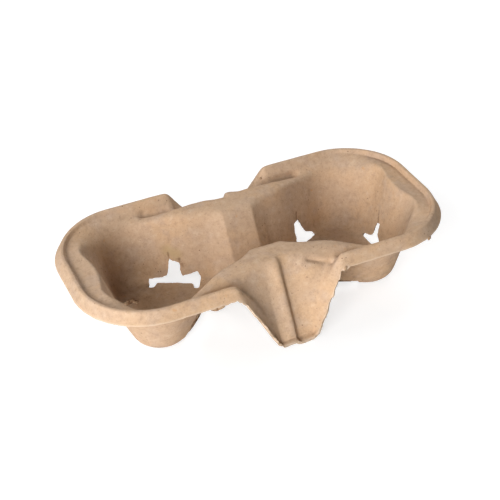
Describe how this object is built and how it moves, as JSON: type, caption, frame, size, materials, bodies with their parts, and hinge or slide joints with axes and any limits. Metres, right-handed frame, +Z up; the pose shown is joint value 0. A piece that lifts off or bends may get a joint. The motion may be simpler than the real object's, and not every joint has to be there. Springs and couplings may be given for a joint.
{
  "type": "cup carrier",
  "caption": "Moulded pulp carrier that holds takeaway cups side by side: rounded wells with T-shaped slots, humps and legs at the waist, and a beaded outer rim.",
  "frame": {"origin": "middle of the base, on the table", "axes": "+X along the two wells, +Y to the back leg, +Z up"},
  "size_m": [0.2096, 0.1196, 0.042],
  "materials": {
    "pulp": "matte moulded paper pulp"
  },
  "bodies": {
    "root": {"carrier": "pulp"}
  },
  "joints": []
}
